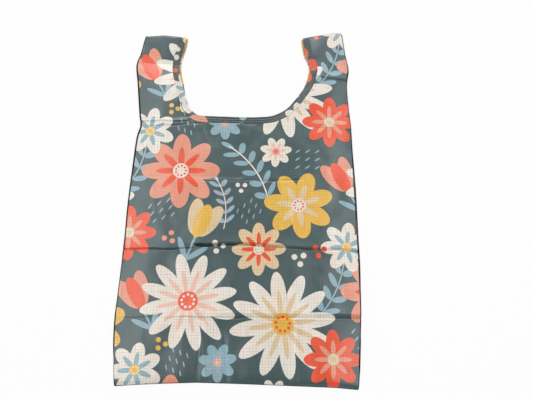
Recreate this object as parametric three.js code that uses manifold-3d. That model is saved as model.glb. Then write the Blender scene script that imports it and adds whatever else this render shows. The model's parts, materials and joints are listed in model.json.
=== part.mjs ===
// A fold-up shopping tote of thin printed ripstop, lying flat with its front up.
//
// X runs across the bag, Y from the bottom seam to the handles, Z up off the table. Millimetres.
// The cloth is cut as a vest: a body with a wide round neck and two loop handles cut in one with it.
// Each panel is made whole, as it is cut, and then parted where the bag folds.

import * as THREE from "three";
import { mergeVertices } from "three/addons/utils/BufferGeometryUtils.js";
import Module from "manifold-3d";

const wasm = await Module();
wasm.setup();

// Outline of a panel, seam to seam.
const bottomWidth = 384;
const shoulderWidth = 362;
const handlesWidth = 370;
const handlesTopWidth = 350;
const neckHeight = 450;
const handleRise = 154;
const handleWidth = 70;
const handleLeanRise = 100;

// The neck: a flat middle and two corners that sweep up into the handles.
const neckFlatWidth = 124;
const cornerRunShare = 0.56;
const cornerLeanShare = 0.7;
const cornerRiseShare = 0.5;
const cornerSteps = 16;

// Cloth, and the air that the bag holds when it lies flat.
const clothThickness = 1;
const clearance = 0.3;
const airGap = 10;

// Trim.
const bindingWidth = 10;
const bindingBiteWidth = 4;
const tapeThickness = 0.6;
const seamWidth = 2;
const bottomSeamDepth = 8;
const topSeamDepth = 12;
const gussetDepth = 65;

// Where the cloth folds, as heights above the bottom seam.
const bodyFoldHeight = 220;
const lipHingeRise = 14;
const lipWidth = 172;
const handleHingeRise = 30;

// Levels of the layers, from the table up.
const backTop = clothThickness;
const frontBase = backTop + airGap;
const frontTop = frontBase + clothThickness;
const backLiningBase = backTop + clearance;
const frontLiningTop = frontBase - clearance;
const backLiningTop = backLiningBase + clothThickness;
const frontLiningBase = frontLiningTop - clothThickness;
const middle = frontTop / 2;

// Heights that follow from the sizes above.
const totalLength = neckHeight + handleRise;
const leanHeight = neckHeight + handleLeanRise;
const lipHingeHeight = bodyFoldHeight + lipHingeRise;
const handleHingeHeight = neckHeight + handleHingeRise;
const shoulderHeight = neckHeight;
const beyond = 2 * (totalLength + bottomWidth);

// Colours of the printed cloth, its lining side, its bound edges and its seams.
const printGreen = 0x566569;
const liningGreen = 0x6f7d80;
const bindingGreen = 0x49585c;
const seamDark = 0x2c3436;

function fabric(color, roughness) {
  return new THREE.MeshStandardMaterial({ color, roughness, metalness: 0 });
}

// The side edge of a panel: straight from the bottom seam to the shoulder, out a little, then in.
const sideStations = [
  [0, bottomWidth / 2],
  [shoulderHeight, shoulderWidth / 2],
  [leanHeight, handlesWidth / 2],
  [totalLength, handlesTopWidth / 2],
];

function sideX(y) {
  const next = Math.max(1, sideStations.findIndex(([height]) => y <= height));
  const [y0, x0] = sideStations[next - 1];
  const [y1, x1] = sideStations[next];
  return THREE.MathUtils.mapLinear(y, y0, y1, x0, x1);
}

// The finished neck edge on the right: along the flat, round the corner and up the handle.
function neckEdge() {
  const waist = handlesWidth / 2 - handleWidth;
  const flat = neckFlatWidth / 2;
  const corner = new THREE.CubicBezierCurve(
    new THREE.Vector2(flat, neckHeight),
    new THREE.Vector2(THREE.MathUtils.lerp(flat, waist, cornerRunShare), neckHeight),
    new THREE.Vector2(
      THREE.MathUtils.lerp(flat, waist, cornerLeanShare),
      THREE.MathUtils.lerp(neckHeight, leanHeight, cornerRiseShare),
    ),
    new THREE.Vector2(waist, leanHeight),
  );
  const top = new THREE.Vector2(handlesTopWidth / 2 - handleWidth, totalLength);
  const out = new THREE.Vector2().subVectors(top, new THREE.Vector2(waist, leanHeight)).normalize();
  return [
    new THREE.Vector2(0, neckHeight),
    ...corner.getSpacedPoints(cornerSteps),
    top,
    top.clone().addScaledVector(out, bindingWidth),
  ];
}

// The neck edge moved into the cloth by a distance, square to itself, from left handle to right.
function neckLine(inset) {
  const edge = neckEdge();
  const right = edge.map((point, i) => {
    const before = edge[Math.max(i - 1, 0)];
    const after = edge[Math.min(i + 1, edge.length - 1)];
    const along = i === 0 ? new THREE.Vector2(1, 0) : new THREE.Vector2().subVectors(after, before).normalize();
    return new THREE.Vector2(point.x + along.y * inset, point.y - along.x * inset);
  });
  const left = right.slice(1).map((point) => new THREE.Vector2(-point.x, point.y));
  return [...left.reverse(), ...right];
}

// The side edge moved outwards, from the bottom seam up.
function sideLine(outset) {
  return sideStations.map(([y, x]) => new THREE.Vector2(x + outset, y));
}

function mirrored(points) {
  return points.map((point) => new THREE.Vector2(-point.x, point.y)).reverse();
}

// A whole panel of cloth whose neck edge lies a distance inside the finished one.
function panel(neckInset, base, top) {
  const right = sideLine(0);
  const outline = [...right, ...neckLine(neckInset).reverse(), ...mirrored(right)];
  return trimmed(slab(outline, base, top));
}

// The neck edge runs on past the handles' tops, so what is made from it is trimmed there.
function trimmed(whole) {
  return within(whole, { y: [-beyond, totalLength] });
}

// A closed solid of an outline in X and Y, from one level to another.
function slab(points, base, top) {
  const geometry = new THREE.ExtrudeGeometry(new THREE.Shape(points), {
    depth: top - base,
    bevelEnabled: false,
  });
  geometry.translate(0, 0, base);
  return solid(geometry);
}

// A closed solid along Y through sections of X and Z that all have the same corners.
function loft(stations) {
  const corners = stations[0].section.length;
  const positions = [];
  for (const { y, section } of stations) {
    for (const [x, z] of section) positions.push(x, y, z);
  }
  const faces = [];
  for (let ring = 0; ring + 1 < stations.length; ring += 1) {
    for (let i = 0; i < corners; i += 1) {
      const a = ring * corners + i;
      const b = ring * corners + ((i + 1) % corners);
      faces.push(a, a + corners, b, b, a + corners, b + corners);
    }
  }
  const outline = stations[0].section.map(([x, z]) => new THREE.Vector2(x, z));
  const lastRing = (stations.length - 1) * corners;
  for (const [a, b, c] of THREE.ShapeUtils.triangulateShape(outline, [])) {
    faces.push(a, b, c);
    faces.push(lastRing + a, lastRing + c, lastRing + b);
  }
  const geometry = new THREE.BufferGeometry();
  geometry.setAttribute("position", new THREE.Float32BufferAttribute(positions, 3));
  geometry.setIndex(faces);
  return solid(geometry);
}

// A three.js geometry as a solid that can be cut and joined.
function solid(geometry) {
  const bare = geometry.clone();
  bare.deleteAttribute("normal");
  bare.deleteAttribute("uv");
  const merged = mergeVertices(bare, 1e-4);
  return new wasm.Manifold(
    new wasm.Mesh({
      numProp: 3,
      vertProperties: new Float32Array(merged.getAttribute("position").array),
      triVerts: new Uint32Array(merged.index.array),
    }),
  );
}

// A block between two corners. Ranges that are left out reach past the whole bag.
function block({ x = [-beyond, beyond], y = [-beyond, beyond], z = [-beyond, beyond] }) {
  const size = [x, y, z].map(([low, high]) => high - low);
  const centre = [x, y, z].map(([low, high]) => (low + high) / 2);
  const geometry = new THREE.BoxGeometry(...size);
  geometry.translate(...centre);
  return solid(geometry);
}

function within(whole, ranges) {
  return whole.intersect(block(ranges));
}

// Half a clearance is left on each side of a fold or a cut.
const half = clearance / 2;
const below = (y) => [-beyond, y - half];
const above = (y) => [y + half, beyond];
const between = (low, high) => [low + half, high - half];
const onSide = (side) => (side > 0 ? [0, beyond] : [-beyond, 0]);

const bag = new THREE.Group();

function add(name, shape, color, roughness) {
  const { numProp, vertProperties, triVerts } = shape.getMesh();
  const positions = [];
  for (let i = 0; i < vertProperties.length; i += numProp) {
    positions.push(vertProperties[i], vertProperties[i + 1], vertProperties[i + 2]);
  }
  const geometry = new THREE.BufferGeometry();
  geometry.setAttribute("position", new THREE.Float32BufferAttribute(positions, 3));
  geometry.setIndex([...triVerts]);
  geometry.computeVertexNormals();
  const mesh = new THREE.Mesh(geometry, fabric(color, roughness));
  mesh.name = name;
  bag.add(mesh);
}

const sides = [
  ["left", -1],
  ["right", 1],
];

// Front and back panels. The front has a lip under the neck that lifts to open the mouth.
const panelInset = bindingWidth - bindingBiteWidth;
const frontCloth = panel(panelInset, frontBase, frontTop);
const backCloth = panel(panelInset, 0, backTop);
const lipSpan = [-lipWidth / 2 + half, lipWidth / 2 - half];
const lipReach = { x: [-lipWidth / 2 - half, lipWidth / 2 + half], y: [lipHingeHeight - half, beyond] };
const bodyBand = between(bodyFoldHeight, handleHingeHeight);

add("front_panel_lower", within(frontCloth, { y: below(bodyFoldHeight) }), printGreen, 0.5);
add("back_panel_lower", within(backCloth, { y: below(bodyFoldHeight) }), printGreen, 0.5);
add(
  "front_panel_upper",
  within(frontCloth, { y: bodyBand }).subtract(block(lipReach)),
  printGreen,
  0.5,
);
add(
  "front_panel_lip",
  within(frontCloth, { x: lipSpan, y: between(lipHingeHeight, handleHingeHeight) }),
  printGreen,
  0.5,
);
add("back_panel_upper", within(backCloth, { y: bodyBand }), printGreen, 0.5);

// The tape that binds the neck and the handles' inner edges. It folds over the edge of the cloth.
const tapeOutline = [...neckLine(0), ...neckLine(bindingWidth).reverse()];
const roomInset = panelInset - clearance;
const frontRoom = panel(roomInset, frontBase - clearance, frontTop + clearance);
const backRoom = panel(roomInset, -clothThickness, backTop + clearance);
const frontBand = slab(tapeOutline, frontBase - clearance - tapeThickness, frontTop + clearance + tapeThickness);
const backBand = slab(tapeOutline, 0, backTop + clearance + tapeThickness);
const frontTape = trimmed(frontBand).subtract(frontRoom);
const backTape = trimmed(backBand).subtract(backRoom);

add("front_neck_binding", within(frontTape, { x: lipSpan, y: below(handleHingeHeight) }), bindingGreen, 0.55);
add("back_neck_binding", within(backTape, { y: below(handleHingeHeight) }), bindingGreen, 0.55);
for (const [side, sign] of sides) {
  const outside = sign > 0 ? above(lipWidth / 2) : below(-lipWidth / 2);
  add(
    `front_${side}_corner_binding`,
    within(frontTape, { x: outside, y: below(handleHingeHeight) }),
    bindingGreen,
    0.55,
  );
}

// Each side gusset is one strip folded inwards, with its two edges at the side seams.
const gussetRise = frontLiningTop - middle;
const gussetInnerDepth = (gussetDepth * (gussetRise - clothThickness)) / gussetRise;

function gussetStation(y) {
  const edge = sideX(y);
  return {
    y,
    section: [
      [edge, frontLiningTop],
      [edge - gussetDepth, middle],
      [edge, backLiningBase],
      [edge, backLiningTop],
      [edge - gussetInnerDepth, middle],
      [edge, frontLiningBase],
    ],
  };
}

function gusset(low, high, sign) {
  const heights = [low, ...sideStations.map(([y]) => y).filter((y) => y > low && y < high), high];
  const right = loft(heights.map(gussetStation));
  return sign > 0 ? right : right.mirror([1, 0, 0]);
}

for (const [side, sign] of sides) {
  const start = bottomSeamDepth + clearance;
  add(`${side}_gusset_lower`, gusset(start, bodyFoldHeight - half, sign), liningGreen, 0.6);
  add(
    `${side}_gusset_upper`,
    gusset(bodyFoldHeight + half, handleHingeHeight - half, sign),
    liningGreen,
    0.6,
  );
}

// The bottom seam holds front and back together, turned inwards.
const bottomSeamOutline = [
  new THREE.Vector2(-sideX(0), 0),
  new THREE.Vector2(sideX(0), 0),
  new THREE.Vector2(sideX(bottomSeamDepth), bottomSeamDepth),
  new THREE.Vector2(-sideX(bottomSeamDepth), bottomSeamDepth),
];
add("bottom_seam", slab(bottomSeamOutline, backLiningBase, frontLiningTop), seamDark, 0.6);

// Four side seams close the panels onto the gussets and run up the handles' outer edges.
const seamOutline = [...sideLine(clearance + seamWidth), ...sideLine(clearance).reverse()];
const seamLayers = [
  ["front", frontLiningBase, frontTop],
  ["back", 0, backLiningTop],
];
for (const [layer, base, top] of seamLayers) {
  for (const [side, sign] of sides) {
    const outline = sign > 0 ? seamOutline : mirrored(seamOutline);
    const seam = slab(outline, base, top);
    add(`${layer}_${side}_seam_lower`, within(seam, { y: below(bodyFoldHeight) }), seamDark, 0.6);
    add(`${layer}_${side}_seam_upper`, within(seam, { y: bodyBand }), seamDark, 0.6);
    add(`${side}_${layer}_strap_seam`, within(seam, { y: above(handleHingeHeight) }), seamDark, 0.6);
  }
}

// Each handle is a front and a back strap, lined by the gusset's cloth and sewn together at the top.
const liningInset = bindingWidth + clearance;
const strapLayers = [
  ["front", frontCloth, frontTape, panel(liningInset, frontLiningBase, frontLiningTop)],
  ["back", backCloth, backTape, panel(liningInset, backLiningBase, backLiningTop)],
];
const topSeam = panel(0, backLiningTop + clearance, frontLiningBase - clearance);
for (const [side, sign] of sides) {
  const handle = { x: onSide(sign), y: above(handleHingeHeight) };
  for (const [layer, strap, binding, lining] of strapLayers) {
    add(`${side}_${layer}_strap`, within(strap, handle), printGreen, 0.5);
    add(`${side}_${layer}_strap_lining`, within(lining, handle), liningGreen, 0.6);
    add(`${side}_${layer}_strap_binding`, within(binding, handle), bindingGreen, 0.55);
  }
  add(
    `${side}_handle_top_seam`,
    within(topSeam, { x: onSide(sign), y: [totalLength - topSeamDepth, beyond] }),
    seamDark,
    0.6,
  );
}

// The origin is under the middle of the bag, on the table.
bag.position.y = -totalLength / 2;

export default bag;
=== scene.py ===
# %% [markdown]
# # A fold-up shopping tote, laid flat
#
# The bag is a vest-shaped shopper of thin printed ripstop: two panels with loop handles cut in one
# with them, a folded gusset up each side, and a strip of the same cloth bound over the neck edge.
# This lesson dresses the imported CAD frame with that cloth, piece by piece, in the frame's own place.
# Working sizes are in millimetres, with x across the bag, h the height above the bottom seam and z up
# off the table. They turn into Blender's metres where a mesh is made or a fold is placed.

# %% Load the frame and keep its box
import json
import math
from functools import partial

import bpy
import numpy as np
from mathutils import Matrix, Vector, noise


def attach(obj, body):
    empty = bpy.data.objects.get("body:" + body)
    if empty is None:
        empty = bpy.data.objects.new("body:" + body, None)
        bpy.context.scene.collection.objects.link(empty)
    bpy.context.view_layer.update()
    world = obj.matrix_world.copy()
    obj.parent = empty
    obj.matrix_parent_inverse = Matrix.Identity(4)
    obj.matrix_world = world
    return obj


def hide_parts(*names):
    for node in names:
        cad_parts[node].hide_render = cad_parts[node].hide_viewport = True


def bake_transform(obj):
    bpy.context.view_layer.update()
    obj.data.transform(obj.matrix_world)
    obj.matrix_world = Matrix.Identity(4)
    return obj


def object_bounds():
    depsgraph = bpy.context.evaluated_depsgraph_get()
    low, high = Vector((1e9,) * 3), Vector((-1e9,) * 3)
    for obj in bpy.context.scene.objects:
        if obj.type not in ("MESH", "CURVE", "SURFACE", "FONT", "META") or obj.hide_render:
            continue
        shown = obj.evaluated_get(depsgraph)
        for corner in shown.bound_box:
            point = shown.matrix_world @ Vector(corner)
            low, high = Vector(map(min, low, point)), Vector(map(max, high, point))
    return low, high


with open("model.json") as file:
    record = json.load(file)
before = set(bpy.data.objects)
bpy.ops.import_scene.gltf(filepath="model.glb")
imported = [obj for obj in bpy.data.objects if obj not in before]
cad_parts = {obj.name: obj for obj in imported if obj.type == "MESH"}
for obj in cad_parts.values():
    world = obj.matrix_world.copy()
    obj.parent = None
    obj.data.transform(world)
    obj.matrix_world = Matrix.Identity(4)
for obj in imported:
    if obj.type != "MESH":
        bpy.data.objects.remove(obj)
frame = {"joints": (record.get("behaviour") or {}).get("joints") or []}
cad_low, cad_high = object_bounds()
MM = 0.001
SIGNS = {"left": -1, "right": 1}
bottom_y = cad_low.y
print("bottom seam at y", round(bottom_y, 4), "and handle tops at y", round(cad_high.y, 4))

# %% [markdown]
# ## The camera
#
# The picture was taken by hand from above, a little below the bag's middle, so the bag narrows slightly
# towards its handles. A plain lens of 50 mm with a tilt of 18 degrees off the vertical gives that
# narrowing. It comes first, because every later choice is judged through it.

# %% Place the camera
LENS_MM = 50
SENSOR_MM = 36
CAMERA_PLACE = Vector((0.042, -0.380, 1.1722))
CAMERA_TILT = math.radians(18)
CAMERA_ROLL = math.radians(0.77)

scene = bpy.context.scene
camera_data = bpy.data.cameras.new("overhead_camera")
camera_data.lens = LENS_MM
camera_data.sensor_width = SENSOR_MM
camera = bpy.data.objects.new("overhead_camera", camera_data)
scene.collection.objects.link(camera)
aim = Matrix.Rotation(CAMERA_TILT, 4, "X") @ Matrix.Rotation(CAMERA_ROLL, 4, "Z")
camera.matrix_world = Matrix.Translation(CAMERA_PLACE) @ aim
scene.camera = camera
print("camera", round(CAMERA_PLACE.z, 3), "m over the table")

# %% [markdown]
# ## Nodes from the script
#
# Surround, table and cloth are all made of shader nodes. In the node editor each one is added, set and
# wired by hand. The script takes the same steps in one helper, where an input is a plain value or the
# output of another node. Most nodes here do sums or lay one colour over another.

# %% Node helpers
def wire(tree, node, inputs):
    """Sets a node's inputs to plain values, or links them to outputs."""
    for key, value in inputs.items():
        if isinstance(value, bpy.types.NodeSocket):
            tree.links.new(value, node.inputs[key])
        else:
            node.inputs[key].default_value = value


def new_node(tree, kind, inputs, **settings):
    """A node with its settings and its inputs."""
    node = tree.nodes.new(f"ShaderNode{kind}")
    for name, value in settings.items():
        setattr(node, name, value)
    wire(tree, node, inputs)
    return node


def calc(tree, operation, *values, use_clamp=False):
    """One math node. Its values are outputs or plain numbers."""
    inputs = dict(enumerate(values))
    return new_node(tree, "Math", inputs, operation=operation, use_clamp=use_clamp).outputs[0]


def paint(tree, below, colour, mask):
    """Lays a colour over another where the mask is 1."""
    inputs = {"Factor": mask, "A": below, "B": colour}
    return new_node(tree, "Mix", inputs, data_type="RGBA").outputs["Result"]


def new_material(name):
    """A material, its node tree and its surface."""
    material = bpy.data.materials.new(name)
    material.use_nodes = True
    return material, material.node_tree, material.node_tree.nodes["Principled BSDF"]


print("node helpers ready")

# %% [markdown]
# ## Light and table
#
# Thin coated cloth shows its folds mostly by its gloss: a face that tilts towards a lamp turns pale, and
# one that tilts away stays deep. Two long softboxes, left and right, leave the level middle of the bag
# deep and its sloping sides pale, and a third, far beyond the handles, draws the creases that run
# across. All three lean towards the bag. The surround fills the rest, white at the walls and dim
# overhead, as in a room with its lamps off. Together they light a level card at about its own colour.
# The table is white: most of its colour is its own glow, seen by the camera and by reflections only, and
# the rest is lit, so that the bag keeps a soft shadow.

# %% Make the surround, the softboxes and the table
WALLS = 0.8
CEILING = 0.1
WALL_TOP = 0.25
CEILING_START = 0.8
# Each softbox has its place, lean in degrees, sides and watts
SOFTBOXES = {
    "left_softbox": ((-0.85, 0.05, 1.8), (0, -25), (0.24, 2.1), 11),
    "right_softbox": ((0.91, 0.2, 1.8), (0, 25), (0.24, 2.4), 12),
    "far_softbox": ((-0.3, 2.4, 2.2), (-47, 0), (1.6, 0.8), 32),
}
TABLE_SIZE = 8
TABLE_GLOW = 0.92
TABLE_WHITE = (0.93, 0.93, 0.93, 1)
TABLE_ROUGHNESS = 0.9

world = bpy.data.worlds.new("white_surround")
world.use_nodes = True
scene.world = world
tree = world.node_tree
toward = new_node(tree, "TexCoord", {}).outputs["Generated"]
height = new_node(tree, "SeparateXYZ", {0: toward}).outputs["Z"]
fall = {"Value": height, "From Min": WALL_TOP, "From Max": CEILING_START, "To Min": WALLS, "To Max": CEILING}
strength = new_node(tree, "MapRange", fall, interpolation_type="SMOOTHSTEP").outputs["Result"]
wire(tree, tree.nodes["Background"], {"Color": (1, 1, 1, 1), "Strength": strength})

for name, (place, lean, sides, watts) in SOFTBOXES.items():
    softbox_data = bpy.data.lights.new(name, "AREA")
    softbox_data.shape = "RECTANGLE"
    softbox_data.size, softbox_data.size_y = sides
    softbox_data.energy = watts
    softbox = bpy.data.objects.new(name, softbox_data)
    scene.collection.objects.link(softbox)
    softbox.location = place
    softbox.rotation_euler = (math.radians(lean[0]), math.radians(lean[1]), 0)

bpy.ops.mesh.primitive_plane_add(size=TABLE_SIZE)
table = bpy.context.object
table.name = "white_table"
table_finish, tree, paper = new_material("white_table")
wire(tree, paper, {"Base Color": TABLE_WHITE, "Roughness": TABLE_ROUGHNESS})
path = new_node(tree, "LightPath", {}).outputs
seen = calc(tree, "MAXIMUM", path["Is Camera Ray"], path["Is Glossy Ray"])
glow = new_node(tree, "Emission", {}).outputs["Emission"]
share = calc(tree, "MULTIPLY", seen, TABLE_GLOW)
both = new_node(tree, "MixShader", {0: share, 1: paper.outputs["BSDF"], 2: glow})
wire(tree, tree.nodes["Material Output"], {"Surface": both.outputs["Shader"]})
table.data.materials.append(table_finish)
scene.view_settings.view_transform = "Standard"
print("lit by a surround of", CEILING, "to", WALLS, "and", len(SOFTBOXES), "softboxes")

# %% [markdown]
# ## The outline of the laid bag
#
# The cut is the same left and right, but cloth laid down by hand never is: the left handle folds in at
# its top, the right one stands a little taller, and the sides swell above the bottom seam. A few
# points for each edge, joined by a smooth curve, hold all of that. A Bezier object would do as well,
# but points in the script can be asked for the width at any height, which every later step needs.

# %% Curves through a few chosen points
LEFT_EDGE = [
    (-189, -1), (-190, 8), (-194, 60), (-195, 105), (-192, 170), (-189, 230), (-188, 285), (-185, 345),
    (-181, 408), (-176, 432), (-179, 455), (-185, 508), (-190, 546), (-184, 568), (-176, 606),
]
RIGHT_EDGE = [
    (187, -3), (189, 8), (192, 60), (194, 115), (194, 180), (192, 235), (190, 300), (187, 385),
    (186, 432), (182, 475), (180, 515), (183, 546), (178, 575), (172, 616),
]
NECK_EDGE = [
    (-104, 608), (-108, 581), (-114, 557), (-114, 536), (-108, 511), (-101, 486), (-93, 465), (-82, 453),
    (-66, 449), (-10, 448), (40, 449), (60, 455), (77, 467), (95, 490), (110, 515), (117, 546),
    (108, 572), (102, 612),
]
CURVE_STEPS = 20
SEAM_INSET = 1.8


def curve_through(points):
    """A dense smooth curve through a few points."""
    points = np.array(points, float)
    ends = 2 * points[[0, -1]] - points[[1, -2]]
    padded = np.vstack([ends[:1], points, ends[1:]])
    t = np.linspace(0, 1, CURVE_STEPS, endpoint=False)[:, None]
    spans = []
    for a, b, c, d in zip(padded, padded[1:], padded[2:], padded[3:]):
        bend = 2 * a - 5 * b + 4 * c - d + t * (3 * (b - c) + d - a)
        spans.append(b + 0.5 * t * (c - a + t * bend))
    return np.vstack([*spans, points[-1:]])


def run_of(path):
    """The length along a path up to each of its points."""
    steps = np.linalg.norm(np.diff(path, axis=0), axis=1)
    return np.concatenate([[0], np.cumsum(steps)])


def evenly(path, count):
    """Points at equal steps along a path."""
    run = run_of(path)
    wanted = np.linspace(0, run[-1], count)
    return np.column_stack([np.interp(wanted, run, path[:, i]) for i in range(path.shape[1])])


def directions(path):
    """Unit directions along a path."""
    along = np.gradient(path, axis=0)
    return along / np.linalg.norm(along, axis=1)[:, None]


def at(points, where):
    """The value at a place, on straight lines between a few (place, value) points."""
    return np.interp(where, *np.transpose(points))


left_curve = curve_through(LEFT_EDGE)
right_curve = curve_through(RIGHT_EDGE)
neck_curve = curve_through(NECK_EDGE)


def left_edge(h):
    """Where the cloth ends on the left, inside the rolled seam."""
    return at(left_curve[:, ::-1], h) + SEAM_INSET


def right_edge(h):
    """Where the cloth ends on the right, inside the rolled seam."""
    return at(right_curve[:, ::-1], h) - SEAM_INSET


print("width at the bottom", right_edge(10) - left_edge(10), "mm, neck edge", run_of(neck_curve)[-1], "mm")

# %% [markdown]
# ## Where the cloth ends, top and bottom
#
# The bottom edge rises a few millimetres in its middle, where the seam has drawn up, and the right
# handle's top slants. Both are small moves added to the level rows of the cloth, which fade out with
# the distance from the edge.

# %% Small drifts of the bottom edge and the handle tops
HANDLE_TOP = 604
BOTTOM_RISE = [(-190, -1), (-150, 2), (-111, 4), (-62, 6), (0, 5), (80, 3), (152, 1), (190, -2)]
TOP_RISE = [(-178, 0), (-144, 3), (-110, 0), (0, 0), (101, 2), (130, 8), (158, 13), (172, 13)]
BOTTOM_FADE = 45
TOP_FADE = 50


def drift(x, h):
    """How far a point of the level cloth moves up where the edges wander."""
    near_bottom = np.clip(1 - h / BOTTOM_FADE, 0, 1) ** 2
    near_top = np.clip(1 - (HANDLE_TOP - h) / TOP_FADE, 0, 1) ** 2
    return at(BOTTOM_RISE, x) * near_bottom + at(TOP_RISE, x) * near_top


print("right handle top drifts", drift(158, HANDLE_TOP), "mm")

# %% [markdown]
# ## Creases
#
# The bag is kept folded to a small square, and lies here just unfolded: five creases run across it at
# equal steps and a few fainter ones up and down. A crease in ripstop is a sharp line with a steep face on
# one side and a long easy slope on the other, and at the steep foot the cloth nips in and holds a shadow.
# So each crease is a line of points with the height of its ridge, a reach to its right and one to its
# left, and the depth and half width of the nip along its right side. A last number gives the nip's upper
# wall a width of its own, and a height below 0 makes a valley. Some creases are made of several lines.

# %% Fold lines and how the cloth rises at them
ACROSS = [
    ([(-200, 104), (-4, 106)], 0.6, 1.8, 12, 0.5, 1.8),
    ([(-30, 106), (200, 109)], 4.4, 7.5, 34, 5.5, 2.0, 6.5),
    ([(-200, 216), (-78, 217)], 1.4, 2.0, 14, 4.4, 1.9),
    ([(-70, 222), (0, 225), (70, 221)], 1.4, 2.0, 14, 13, 1.9, 4.6),
    ([(74, 219), (200, 217)], 1.2, 2.0, 14, 5.0, 1.8, 4.2),
    ([(36, 334), (95, 336)], 0.5, 4.0, 10, 3.6, 1.6, 3.4),
    ([(-200, 333), (36, 335)], 0.8, 16, 2.6, 0.5, 1.5),
    ([(-200, 430), (-75, 437)], 0.7, 3.0, 8, 2.2, 2.0),
    ([(110, 433), (200, 431)], 0.5, 5.0, 8, 0.5, 2.6),
    ([(-200, 442), (-90, 441)], 0.7, 2.4, 4, 2.0, 1.8),
    ([(-100, 547), (-200, 551)], -0.8, 16, 9, 1.2, 1.5),
    ([(100, 533), (190, 522)], 0.6, 3.0, 12, 1.6, 2.0),
    ([(150, 557), (182, 522)], 0.6, 2.6, 7, 1.4, 1.6),
]
UP_AND_DOWN = [
    ([(-48, -5), (-56, 40), (-64, 100)], 0.8, 4.0, 12, 1.8, 5.0),
    ([(84, -5), (88, 60), (90, 95)], 0.6, 3.5, 12, 1.6, 4.0),
    ([(-20, -5), (-24, 70)], 0.4, 4.0, 9, 0.8, 4.0),
    ([(20, 10), (14, 85)], 0.9, 5.0, 9, 0, 4.0),
    ([(-66, 215), (-62, 330)], 0.6, 4.0, 14, 0, 4.0),
    ([(78, 110), (76, 215)], 0.9, 8.0, 14, 0, 4.0),
    ([(84, 262), (82, 308)], 0.4, 4.0, 8, 1.2, 3.0),
    ([(-60, 395), (-74, 428)], 0.5, 4.0, 10, 1.0, 3.0),
]


def away_from(x, h, line):
    """The distance of each point from a line of points, and on which side of it the point lies."""
    line = np.array(line, float)
    nearest = np.full(np.shape(x), np.inf)
    side = np.zeros(np.shape(x))
    for (ax, ah), (bx, bh) in zip(line, line[1:]):
        dx, dh = bx - ax, bh - ah
        t = np.clip(((x - ax) * dx + (h - ah) * dh) / (dx * dx + dh * dh), 0, 1)
        distance = np.hypot(x - ax - t * dx, h - ah - t * dh)
        closer = distance < nearest
        nearest = np.where(closer, distance, nearest)
        side = np.where(closer, np.sign(dx * (h - ah) - dh * (x - ax)), side)
    return nearest, side


def folded(x, h, line, height, right_reach, left_reach, nip_depth, nip_half, nip_far=None):
    """A crease along a line: a ridge or valley with two reaches, and a nip along its right side."""
    distance, side = away_from(x, h, line)
    ridge = height * np.exp(-distance / np.where(side > 0, left_reach, right_reach))
    from_nip = side * distance + nip_half
    half = np.where(from_nip > 0, nip_far or nip_half, nip_half)
    return ridge - nip_depth * np.clip(1 - np.abs(from_nip) / half, 0, 1)


print(len(ACROSS), "fold lines across and", len(UP_AND_DOWN), "up and down")

# %% [markdown]
# ## The level of the front cloth
#
# Between the seams the cloth bellies up over the folded gussets and the trapped air. A sculpted mesh
# could hold that, but a formula keeps every piece on the same surface, so that pieces which are parted
# at a fold meet exactly. It adds up: the belly, a lift of its own for each handle, a slight sink along the
# neck, a broad dip at the bottom, slow waves of the whole cloth, the creases, and small puckers where a
# seam or the binding gathers it. Where a deep crease would sink through the back, it stops just above it.
# Waves and puckers are given by their length and height, with a seed that picks their pattern.

# %% Level of the front, in millimetres over the table
SEAM_LEVEL = 4.8
LEFT_HANDLE_LIFT = [(447, 0), (495, 3.0), (549, 1.6), (590, 5.2), (604, 5.8), (620, 6.0)]
LEFT_HANDLE_FLAT = [(520, 0), (553, 0.65), (620, 0.65)]
RIGHT_HANDLE_LIFT = [(447, 0), (526, 2.4), (604, 0), (620, -0.2)]
BOTTOM_LEVEL = 2.4
BOTTOM_REACH = [
    (-190, 2.5), (-150, 4), (-115, 10), (-62, 10), (-52, 34), (-34, 30), (-8, 12), (60, 10), (105, 4),
    (190, 2.5),
]
TOP_LEVEL = 2.6
TOP_REACH = 1.1
SIDE_RISE = [(0, 0), (42, 3.8), (60, 4.5), (125, 5.6), (400, 5.6)]
RISE_SHARE = [
    (0, 0.85), (106, 1.08), (206, 0.92), (219, 1.15), (335, 0.9), (435, 0.95), (480, 0.8), (549, 0.5),
    (620, 0.55),
]
NECK_SINK = 0.6
NECK_SINK_REACH = 22
NECK_STRIDE = 6
LEAST_LEVEL = 1.7
# The dip has a centre, its reach across and up, and a depth
DIP = (-15, 0, 46, 62, 3.6)
# Waves have a length, a height and a seed
WAVES = [(130, 1.4, 3.7), (62, 1.7, 11.2), (25, 0.75, 23.9), (11, 0.22, 41.3)]
WAVE_REACH = 14
CREASE_STRAY = 1.6
STRAY_WAVE = (34, 71.0)
FADE_MEAN = 0.85
FADE_SPREAD = 0.8
FADE_LENGTH = 55
FADE_LIMITS = (0.3, 1.4)
FIRST_FADE_SEED = 0.5
# Puckers have a height, a reach from the edge, a length and a seed
NECK_PUCKER = (0.5, 11, 9, 5.1)
SIDE_PUCKER = (0.45, 9, 8, 8.3)
SIDE_PUCKER_STRETCH = 0.3
BOTTOM_PUCKER = (0.9, 26, 13, 2.2)
BOTTOM_PUCKER_STRETCH = 0.25
BOTTOM_PUCKER_START = 4
MIDDLE = (np.array(0.0), np.array(300.0))


def waves(x, h, length, seed):
    """Smooth bumps between about -1 and 1, the same on every run."""
    points = zip(np.ravel(x) / length, np.ravel(h) / length)
    return np.reshape([noise.noise((a, b, seed)) for a, b in points], np.shape(x))


def eased(distance, reach):
    """0 at an edge, rising to 1 away from it."""
    return 1 - np.exp(-np.maximum(distance, 0) / reach)


def near(distance, height, reach):
    """A height at an edge, sinking to 0 away from it."""
    return height * np.exp(-distance / reach)


def puckers(x, h, distance, height, reach, length, seed):
    """Small bumps along an edge."""
    return near(distance, height, reach) * waves(x, h, length, seed)


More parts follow.
